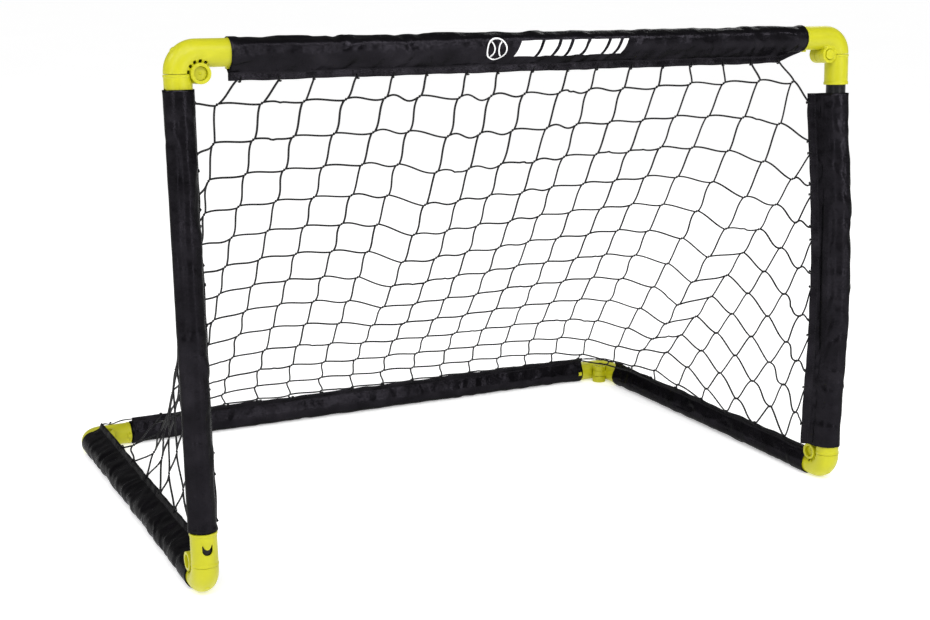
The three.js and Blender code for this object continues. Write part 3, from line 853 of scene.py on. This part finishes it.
    def build_stitches(self):
        """Two rows of lockstitch along the hem, seen on both sides of it."""
        pitch, long, wide, high = 3.6, 2.5, 0.32, 0.3
        s = np.arange(self.start + 3, self.end - 3, pitch)
        rings, around = 5, 6
        turns = 2 * math.pi * np.arange(around) / around
        points, faces = [], []
        for row in (self.reach - self.seam - 1.0, 3.4):
            for q in (row, self.perimeter - row):
                centre, along, _, normal = self.at(s, np.full_like(s, q))
                along = along / np.linalg.norm(along, axis=-1)[:, None]
                across = np.cross(normal, along)
                for k in range(len(s)):
                    base = len(points)
                    last = base + (rings - 1) * around
                    faces += grid_faces(rings, around, False, True, base)
                    faces.append(tuple(range(base, base + around)))
                    faces.append(tuple(reversed(range(last, last + around))))
                    for t in np.linspace(-1, 1, rings):
                        thick = math.sqrt(max(0.04, 1 - t * t))
                        points += [centre[k] + along[k] * (t * long / 2)
                                   + across[k] * (wide * thick * math.cos(a))
                                   + normal[k] * (high * thick * math.sin(a) + 0.05) for a in turns]
        mesh = new_mesh(f"{self.name}_stitches", points, faces, TWINE)
        store_vector(mesh, "twist", np.tile((1.0, 0.0, 0.0), (len(points), 1)))
        new_piece(f"{self.name}_stitches", mesh, self.body)


on_front = dict(body="front_frame", matrix=FRONT)
on_ground = dict(body="base_frame", matrix=Matrix.Identity(4), floor=True)
SLEEVES = {}
for options in (
    dict(on_front, name="crossbar_sleeve", corner=(-HALF_WIDTH, 0, SIDE), along=(1, 0, 0), hem=(0, 0, -1),
         start=54.5, end=811, reach=30, seam=21.5, radius=15.2, seed=3, creases=110, strength=3.0,
         length=2 * HALF_WIDTH, hem_wave=0.6, taper=38.0, gathers=(24.0, 2.6),
         folds=[(0.24, 1.2, 7.0), (0.63, 1.2, 6.0)], tight=1.6),
    dict(on_front, name="left_post_sleeve", corner=(-HALF_WIDTH, 0, 0), along=(0, 0, 1),
         hem=(DIAGONAL, DIAGONAL, 0), start=62.5, end=541, reach=32, seam=22, radius=15.0, seed=8,
         creases=60, strength=2.2, hem_wave=0.5, tight=1.8,
         folds=[(0.40, 3.0, 8.0), (0.60, 2.4, 7.0), (0.26, 1.6, 6.0)]),
    dict(on_front, name="right_post_sleeve", corner=(HALF_WIDTH, 0, 0), along=(0, 0, 1),
         hem=(-DIAGONAL, DIAGONAL, 0), start=34, end=507, reach=36, seam=25, radius=15.6, seed=12,
         creases=80, strength=2.6, hem_wave=0.5, sway=9.0, tight=1.6,
         folds=[(0.2, 2.2, 6.0), (0.72, 2.4, 7.0), (0.45, 1.6, 6.0)]),
    dict(on_ground, name="left_ground_sleeve", corner=(-HALF_WIDTH, -HALF_DEPTH, AXIS_HEIGHT),
         along=(0, 1, 0), hem=(0.45, 0, 0.893), start=27, end=553, reach=31, seam=22, radius=14.9,
         seed=21, creases=130, strength=3.8, slant=1.05, spread=0.35, hem_wave=0.4,
         gathers=(19.0, 2.4), tight=1.4),
    dict(on_ground, name="right_ground_sleeve", corner=(HALF_WIDTH, -HALF_DEPTH, AXIS_HEIGHT),
         along=(0, 1, 0), hem=(-0.45, 0, 0.893), start=33, end=523, reach=30, seam=21, radius=15.0,
         seed=34, creases=70, strength=2.4, folds=[(0.7, 2.4, 6.0)], hem_wave=0.9),
    dict(on_ground, name="rear_ground_sleeve", corner=(-HALF_WIDTH, HALF_DEPTH, AXIS_HEIGHT),
         along=(1, 0, 0), hem=(0, -0.45, 0.893), start=60, end=820, reach=29, seam=20.5, radius=15.0,
         seed=55, creases=100, strength=2.2, length=2 * HALF_WIDTH, hem_wave=0.6),
):
    sleeve = Sleeve(**options)
    sleeve.build()
    SLEEVES[sleeve.name] = sleeve

# ---------------------------------------------------------------- print on the crossbar's sleeve


def build_print():
    """A plain ball badge and slanted bars, a thin skin of ink that follows the cloth."""
    sleeve = SLEEVES["crossbar_sleeve"]
    middle = 0.70 * sleeve.perimeter + 4.5
    points, faces = [], []

    def patch(outline, rows, columns):
        """outline(u, v) gives a place on the flat cloth, for u and v from 0 to 1."""
        base = len(points)
        for i in range(rows + 1):
            for j in range(columns + 1):
                s, q = outline(i / rows, j / columns)
                points.append(sleeve.at(s, q, 0.4)[0])
        faces.extend(grid_faces(rows + 1, columns + 1, False, False, base))

    def arc(cx, cy, inner, outer, low, high):
        def outline(u, v):
            a = low + (high - low) * u
            r = inner + (outer - inner) * v
            return cx + r * math.cos(a), cy + r * math.sin(a)
        return outline

    ball = 367.0
    patch(arc(ball, middle, 11.8, 13.6, 0, 2 * math.pi), 64, 2)
    patch(arc(ball - 14.6, middle, 11.2, 12.8, -0.84, 0.84), 18, 2)
    patch(arc(ball + 14.6, middle, 11.2, 12.8, math.pi - 0.84, math.pi + 0.84), 18, 2)

    def bar(start, width, half):
        def outline(u, v):
            return start + width * u + (v - 0.5) * 9, middle + (0.5 - v) * 2 * half
        return outline

    s = 395.0
    for width in (26, 18, 12, 18, 24, 12, 7):
        patch(bar(s, width, 9.2), int(width), 16)
        s += width + 4.5
    mesh = new_mesh("crossbar_print", points, faces, INK)
    new_piece("crossbar_print", mesh, "front_frame")


build_print()

# ---------------------------------------------------------------- net
# Knots are numbered (row, column). Rows run across the goal, from 1 under the crossbar to 13 at the
# rear hem. Columns 0 to 16 hang from the crossbar; the others start on the posts and fill the two
# side walls, one more for each row down the post from row 3 and one fewer for each row along the ground.

ROWS = 13
LAST_COLUMN = 16          # of those that hang from the crossbar
LAST_REAR_COLUMN = 14     # of those that are tied to the rear hem
EASED_COLUMNS = 6         # over which the left edge's shorter strands come back to full length
SIDE_COLUMNS = 6
LAST_POST_ROW = 8
COLUMN_STRAND = 59.0      # between knots down the back of the net, which hangs taut
LEFT_EASE = 7.0           # how much shorter the first column's strands are
WALL_STRAND = 49.0        # between knots down the two side walls
ROW_STRAND = 49.0         # between knots along a row, which hangs loose
RIGHT_END_STRAND = 40.0   # from row 1 to its tie on the right post
LEFT_END_STRAND = 24.0    # from row 1 to its tie on the left post
TOP_STRAND = 38.0
REAR_LEFT_STRAND = 22.0   # from the last row to the rear hem, at its left end
REAR_EASE = 17.0          # how much shorter it is at the right end
REAR_WALL_STRAND = 8.0    # the same for the columns beside the rear hem
STRAND_RADIUS = 1.25
KNOT_HALF = 2.4
SAG_STEPS = 900
SPEED_KEPT = 0.98
FALL_PER_STEP = 0.03
PULLS_PER_STEP = 10
PULL_STRENGTH = 1.6

# Ties along the hems, each measured along its sleeve's tube, at regular spacings.
CROSSBAR_FIRST_TIE = 66.0
CROSSBAR_TIE_PITCH = 44.5
CROSSBAR_TIE_SWAY = 3.0   # hand-tied, so not quite even
REAR_FIRST_TIE = 103.0
REAR_TIE_PITCH = 50.5
POST_TOP_TIE = 495.0
POST_TIE_GAP = 50.0       # from row 1 to row 2
POST_GAP_GROWTH = 4.0     # each gap further down is this much wider
COLUMN_TIE_SHARE = 0.3    # a wall column is tied this far down the gap below its row
LEFT_POST_LIFT = 30.0     # row 1 is tied this much higher on the left post, the last post row level
GROUND_FIRST_TIE = 77.0
GROUND_TIE_PITCH = 67.0
LEFT_GROUND_SHIFT = 25.0  # the left wall is tied this much further back
CORNER_TIE_IN = 27.0      # the one column tied at the rear right corner, in from the tube's axis
CORNER_TIE_FORWARD = 31.0
CORNER_TIE_LIFT = 19.0


def sag_net():
    """Where every knot hangs: strands never stretch, hems hold the edge, gravity does the rest."""
    first, last = {}, {}
    for row in range(1, ROWS + 1):
        beside = max(0, row - 2) if row <= LAST_POST_ROW else ROWS + 1 - row
        first[row], last[row] = -beside, LAST_COLUMN + beside

    def crossbar_tie(column):
        sway = CROSSBAR_TIE_SWAY * math.sin(column * 2.3)
        along = CROSSBAR_FIRST_TIE + column * CROSSBAR_TIE_PITCH + sway
        return SLEEVES["crossbar_sleeve"].hem_tip(along)

    def post_tie(side, row):
        gaps = row - 1
        height = POST_TOP_TIE - POST_TIE_GAP * gaps - POST_GAP_GROWTH * gaps * (gaps - 1) / 2
        if side == "left":
            height += LEFT_POST_LIFT * (LAST_POST_ROW - row) / (LAST_POST_ROW - 1)
        return SLEEVES[f"{side}_post_sleeve"].hem_tip(height)

    def ground_tie(side, row):
        along = GROUND_FIRST_TIE + GROUND_TIE_PITCH * (row - LAST_POST_ROW - 1)
        if side == "left":
            along += LEFT_GROUND_SHIFT
        return SLEEVES[f"{side}_ground_sleeve"].hem_tip(along)

    def rear_tie(column):
        return SLEEVES["rear_ground_sleeve"].hem_tip(REAR_FIRST_TIE + column * REAR_TIE_PITCH)

    corner_tie = np.array((HALF_WIDTH - CORNER_TIE_IN, HALF_DEPTH - CORNER_TIE_FORWARD,
                           AXIS_HEIGHT + CORNER_TIE_LIFT))
    names, points, free, strands = {}, [], [], []

    def knot(key, point, held=False):
        names[key] = len(points)
        points.append(np.array(point, float))
        free.append(0.0 if held else 1.0)

    def strand(kind, low, high, rest):
        strands.append((kind, names[low], names[high], rest))

    def column_ends(column):
        side = "left" if column < 0 else "right"
        beside = max(-column, column - LAST_COLUMN)
        if beside > 0:
            begin = post_tie(side, beside + 1 + COLUMN_TIE_SHARE)
        else:
            begin = crossbar_tie(column)
        if 0 <= column <= LAST_REAR_COLUMN:
            finish = rear_tie(column)
        elif column == LAST_REAR_COLUMN + 1:
            finish = corner_tie
        else:
            finish = ground_tie(side, ROWS + 2 - beside)
        return begin, finish

    for row in range(1, ROWS + 1):
        for column in range(first[row], last[row] + 1):
            begin, finish = column_ends(column)
            mine = [r for r in range(1, ROWS + 1) if first[r] <= column <= last[r]]
            share = (mine.index(row) + 0.7) / (len(mine) + 0.3)
            drop = np.array((0, -20, -20)) * math.sin(math.pi * share)
            knot((row, column), begin * (1 - share) + finish * share + drop)
    for column in range(LAST_COLUMN + 1):
        knot(("top", column), column_ends(column)[0], True)
        strand("down", ("top", column), (1, column), TOP_STRAND)

    def column_rest(column):
        if 0 <= column <= LAST_COLUMN:
            return COLUMN_STRAND - LEFT_EASE * max(0, EASED_COLUMNS - column) / EASED_COLUMNS
        return WALL_STRAND

    for row in range(1, ROWS + 1):
        for column in range(first[row], last[row]):
            strand("across", (row, column), (row, column + 1), ROW_STRAND)
        for column in range(first[row], last[row] + 1):
            if (row + 1, column) in names:
                strand("down", (row, column), (row + 1, column), column_rest(column))
    for row in range(1, LAST_POST_ROW + 1):
        knot(("right", row), post_tie("right", row), True)
        strand("across", (row, last[row]), ("right", row), ROW_STRAND if row > 1 else RIGHT_END_STRAND)
        knot(("left", row), post_tie("left", row), True)
        strand("across", ("left", row), (row, first[row]), ROW_STRAND if row > 1 else LEFT_END_STRAND)
    for k in range(1, SIDE_COLUMNS + 1):
        for column in (LAST_COLUMN + k, -k):
            knot(("post", column), column_ends(column)[0], True)
            strand("down", ("post", column), (k + 2, column), column_rest(column))
    for row in range(LAST_POST_ROW + 1, ROWS + 1):
        column = last[row] + 1
        knot(("right", row), column_ends(column)[1], True)
        strand("across", (row, last[row]), ("right", row), ROW_STRAND)
        strand("down", (row - 1, column), ("right", row), WALL_STRAND)
        column = first[row] - 1
        knot(("left", row), column_ends(column)[1], True)
        strand("across", ("left", row), (row, first[row]), ROW_STRAND)
        strand("down", (row - 1, column), ("left", row), WALL_STRAND)
    for column in range(first[ROWS], last[ROWS] + 1):
        rest = REAR_WALL_STRAND
        if 0 <= column <= LAST_REAR_COLUMN:
            rest = REAR_LEFT_STRAND - REAR_EASE * column / LAST_REAR_COLUMN
        knot(("rear", column), column_ends(column)[1], True)
        strand("down", (ROWS, column), ("rear", column), rest)

    place = np.array(points)
    moving = np.array(free)
    low = np.array([s[1] for s in strands])
    high = np.array([s[2] for s in strands])
    rest = np.array([s[3] for s in strands], float)
    count = len(place)
    both = np.maximum(moving[low] + moving[high], 1e-9)
    share_low, share_high = moving[low] / both, moving[high] / both
    ends_at = np.bincount(low, minlength=count) + np.bincount(high, minlength=count)
    relax = (PULL_STRENGTH / ends_at)[:, None]
    speed = np.zeros_like(place)
    for _ in range(SAG_STEPS):
        before = place.copy()
        place = place + SPEED_KEPT * speed * moving[:, None]
        place[:, 2] -= FALL_PER_STEP * moving
        for _ in range(PULLS_PER_STEP):
            span = place[high] - place[low]
            long = np.sqrt((span * span).sum(1)) + 1e-9
            pull = (np.maximum(long - rest, 0) / long)[:, None] * span
            shift = np.stack([np.bincount(low, pull[:, k] * share_low, count)
                              - np.bincount(high, pull[:, k] * share_high, count) for k in range(3)], 1)
            place = place + shift * relax
        speed = place - before
    return names, place, moving, strands


class TwineMesh:
    """Collects twine strands and knots into one mesh."""

    def __init__(self):
        self.points, self.faces, self.twist, self.weights = [], [], [], []

    def strand(self, path, radius=STRAND_RADIUS, sides=6, weight=None):
        path = np.asarray(path, float)
        count = len(path)
        tangent = np.gradient(path, axis=0)
        tangent /= np.linalg.norm(tangent, axis=1)[:, None] + 1e-9
        helper = (0.31, 0.87, 0.38)
        if abs(tangent[count // 2] @ helper) >= 0.9:
            helper = (0.9, 0.1, -0.4)
        first = np.cross(tangent, np.array(helper))
        first /= np.linalg.norm(first, axis=1)[:, None]
        second = np.cross(tangent, first)
        turns = 2 * math.pi * np.arange(sides) / sides
        ring = (first[:, None] * np.cos(turns)[None, :, None]
                + second[:, None] * np.sin(turns)[None, :, None])
        thick = np.broadcast_to(np.asarray(radius, float), (count,))
        base = sum(len(p) for p in self.points)
        self.points.append((path[:, None] + ring * thick[:, None, None]).reshape(-1, 3))
        run = np.r_[0, np.cumsum(np.linalg.norm(np.diff(path, axis=0), axis=1))]
        self.twist.append(np.stack(np.broadcast_arrays(
            np.cos(turns)[None], np.sin(turns)[None], run[:, None]), -1).reshape(-1, 3))
        if weight is not None:
            self.weights.append(np.repeat(np.asarray(weight, float), sides))
        self.faces += [tuple(reversed(f)) for f in bar_faces(count, sides, base)]

    def small_knot(self, centre, half, thin, swell):
        """A bead of twine that reaches half to each side of its centre, thickest in the middle."""
        t = np.linspace(-1, 1, 7)[:, None]
        self.strand(centre + half * t, thin + swell * np.exp(-(t[:, 0] / 0.5) ** 2), 7)

    def mesh(self, name):
        made = new_mesh(name, np.concatenate(self.points), self.faces, TWINE)
        store_vector(made, "twist", np.concatenate(self.twist))
        return made


def hermite(start, end, leave, arrive, count=13):
    t = np.linspace(0, 1, count)[:, None]
    return ((2 * t ** 3 - 3 * t ** 2 + 1) * start + (t ** 3 - 2 * t ** 2 + t) * leave
            + (-2 * t ** 3 + 3 * t ** 2) * end + (t ** 3 - t ** 2) * arrive)


def unit(v):
    return v / (np.linalg.norm(v) + 1e-9)


HINGE = through(FRONT, np.array([(0, BEND_RADIUS, FRONT_OFFSET)]))[0]
FRONT_PLANE = math.radians(86)    # a little short of the posts, so that twine on them turns fully


def fold_share(points):
    """How far a point turns with the front frame: 0 at the floor's plane through the hinge, 1 at the
    front frame's own plane."""
    rise = points[:, 2] - HINGE[2]
    back = points[:, 1] - HINGE[1]
    angle = np.arctan2(rise, back)
    return np.clip(angle / FRONT_PLANE, 0, 1) * (rise > 0)


def build_net():
    names, place, moving, strands = sag_net()
    rng = np.random.default_rng(17)
    twine = TwineMesh()
    across = {i: [] for i in range(len(place))}
    down = {i: [] for i in range(len(place))}
    for kind, low, high, _ in strands:
        table = across if kind == "across" else down
        way = unit(place[high] - place[low])
        table[low].append(way)
        table[high].append(way)
    lean_of = np.zeros_like(place)
    for i in range(len(place)):
        if moving[i] and across[i] and down[i]:
            lean_of[i] = unit(unit(sum(across[i])) - unit(sum(down[i]))) * KNOT_HALF
    for kind, low, high, rest in strands:
        sign = 1 if kind == "across" else -1
        start = place[low] + sign * lean_of[low]
        end = place[high] - sign * lean_of[high]
        chord = end - start
        span = np.linalg.norm(chord)
        if span < 2:
            continue
        way = chord / span
        if kind == "across":
            lift = np.array((0, 0, 1.0))
            if down[low] and down[high]:
                lift = unit(-sum(down[low]) - sum(down[high]))
            slack = max(1.0, rest / max(np.linalg.norm(place[high] - place[low]), 1.0))
            tilt = min(1.1, 0.22 + 1.7 * math.sqrt(slack - 1)) * rng.uniform(0.75, 1.25)
            droop = 0.05 * span * math.sqrt(slack - 1) * rng.uniform(0.3, 1.6)
        else:
            lift = np.array((1.0, 0, 0))
            if across[low] and across[high]:
                lift = unit(sum(across[low]) + sum(across[high]))
            tilt = -0.16 * rng.uniform(0.3, 1.7)
            droop = 0.0
        lift = unit(lift - way * (lift @ way))
        normal = np.cross(way, lift)
        wobble = normal * rng.normal(0, 0.06)
        leave = (way + lift * tilt + wobble) * span
        arrive = (way + lift * tilt * rng.uniform(0.6, 1.3) - wobble) * span
        path = hermite(start, end, leave, arrive, 15)
        t = np.linspace(0, 1, 15)
        path[:, 2] -= droop * 4 * t * (1 - t)
        if kind == "across" and rng.random() < 0.13:
            bump = np.exp(-((t - rng.uniform(0.3, 0.7)) / 0.07) ** 2) * rng.uniform(1.0, 2.4)
            path += bump[:, None] * lift * rng.choice((-1, 1))
        twine.strand(path, STRAND_RADIUS * rng.uniform(0.92, 1.06), weight=fold_share(path))
    for key, i in names.items():
        if not moving[i]:
            continue
        lean = lean_of[i]
        t = np.linspace(-1, 1, 9)[:, None]
        normal = unit(np.cross(lean, (0.2, 0.6, 0.75)))
        path = place[i] + lean * 1.15 * t + normal * 0.25 * np.sin(3 * t)
        thick = 0.75 + 0.62 * np.exp(-(t[:, 0] / 0.62) ** 2) + 0.18 * np.cos(7 * t[:, 0])
        twine.strand(path, thick, 8, weight=fold_share(path))
        crossing = unit(np.cross(normal, lean))
        wrap = place[i] + crossing * 1.7 * t + normal * 0.9 * (1 - t * t)
        twine.strand(wrap, 0.62, 6, weight=fold_share(wrap))
    mesh = twine.mesh("net_visual")
    piece = new_piece("net_visual", mesh, None, ["goal_net"])
    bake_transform(piece, "base_frame", "front_frame", HINGE * MM + np.array((0, 0.05, 0)),
             HINGE * MM + np.array((0, 0, 0.05)))
    mesh.attributes["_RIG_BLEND"].data.foreach_set(
        "value", np.concatenate(twine.weights).astype(np.float32))
    return {key: place[i] for key, i in names.items()}


KNOT_PLACES = build_net()

# ---------------------------------------------------------------- lacing

LACING_REACH = 8.0        # a knot further than this from a hem isn't laced to it


def hem_loops(name, body, sleeve_names, keys):
    """Small twine loops that tie the net's edge to the hems."""
    twine = TwineMesh()
    rng = np.random.default_rng(len(name))
    for key in keys:
        nearest = []
        for sleeve_name in sleeve_names:
            sleeve = SLEEVES[sleeve_name]
            gaps = np.linalg.norm(sleeve.hem_tip(sleeve.stations) - KNOT_PLACES[key], axis=1)
            nearest.append((gaps.min(), sleeve, sleeve.stations[gaps.argmin()]))
        gap, sleeve, s = min(nearest, key=lambda found: found[0])
        if gap > LACING_REACH:
            continue
        tip = sleeve.at(s, 0.0)[0]
        root = (sleeve.at(s, 9.0)[0] + sleeve.at(s, sleeve.perimeter - 9.0)[0]) / 2
        out = unit(tip - root)
        along = np.array(unit(sleeve.matrix.to_3x3() @ Vector(sleeve.along)))
        side = np.cross(along, out)
        size = rng.uniform(2.6, 3.3)
        a = np.linspace(0, 2 * math.pi, 22)
        centre = tip - out * (size - 1.4)
        loop = centre + (np.outer(np.cos(a), out) * size + np.outer(np.sin(a), side) * 1.9
                         + np.outer(np.sin(a / 2), along) * rng.uniform(-2, 2))
        twine.strand(loop, 0.66, 6)
        twine.small_knot(tip + out * 1.2, along * 1.8, 0.7, 0.5)
    new_piece(name, twine.mesh(name), body)


front_keys = [("top", c) for c in range(LAST_COLUMN + 1)]
front_keys += [(side, r) for side in ("left", "right") for r in range(1, LAST_POST_ROW + 1)]
front_keys += [("post", c) for k in range(1, SIDE_COLUMNS + 1) for c in (LAST_COLUMN + k, -k)]
base_keys = [(side, r) for side in ("left", "right") for r in range(LAST_POST_ROW + 1, ROWS + 1)]
base_keys += [("rear", c) for c in range(-1, LAST_COLUMN + 2)]
hem_loops("front_lacing", "front_frame", ["crossbar_sleeve", "left_post_sleeve", "right_post_sleeve"],
          front_keys)
hem_loops("ground_lacing", "base_frame",
          ["left_ground_sleeve", "right_ground_sleeve", "rear_ground_sleeve"], base_keys)


def corner_twine():
    """The border twine that crosses each bare rear elbow from hem to hem."""
    twine = TwineMesh()
    rng = np.random.default_rng(5)
    for side, sign in (("left", -1), ("right", 1)):
        ground = SLEEVES[f"{side}_ground_sleeve"]
        rear = SLEEVES["rear_ground_sleeve"]
        begin = ground.hem_tip(ground.end - 4)
        finish = rear.hem_tip(rear.start + 4 if sign < 0 else rear.end - 4)
        middle = np.array((sign * (HALF_WIDTH - 16), HALF_DEPTH - 16, AXIS_HEIGHT + 24))
        for _ in range(2):
            t = np.linspace(0, 1, 25)[:, None]
            path = (1 - t) ** 2 * begin + 2 * t * (1 - t) * middle + t ** 2 * finish
            ripple = np.sin(t * math.pi * rng.integers(2, 4))
            path += ripple * (0, 0, rng.uniform(1.0, 2.0)) * np.sin(math.pi * t)
            path += np.sin(t * math.pi) * (sign * rng.uniform(-3, 1), rng.uniform(-3, 1), rng.uniform(0, 1.5))
            twine.strand(path, 0.75, 6)
        twine.small_knot((begin + 2 * middle + finish) / 4, np.array((1.6, 1.6, 0.4)), 0.8, 0.6)
    new_piece("border_twine", twine.mesh("border_twine"), "base_frame")


corner_twine()

# ---------------------------------------------------------------- soft pieces under the fold
# Folded, the front frame lies on the side ground sleeves and presses them and their twine flatter; here each
# of them only gets a mesh of its own.

for name in ("left_ground_sleeve_visual", "left_ground_sleeve_stitches", "right_ground_sleeve_visual",
             "right_ground_sleeve_stitches", "ground_lacing", "border_twine"):
    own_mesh(bpy.data.objects[name])

# ---------------------------------------------------------------- floor

FLOOR_HALF = 6e4
floor_corners = [(x * FLOOR_HALF, y * FLOOR_HALF, 0) for x, y in ((-1, -1), (1, -1), (1, 1), (-1, 1))]
floor_mesh = new_mesh("floor", floor_corners, [(0, 1, 2, 3)], pale_floor())
floor = add_object("floor", floor_mesh)
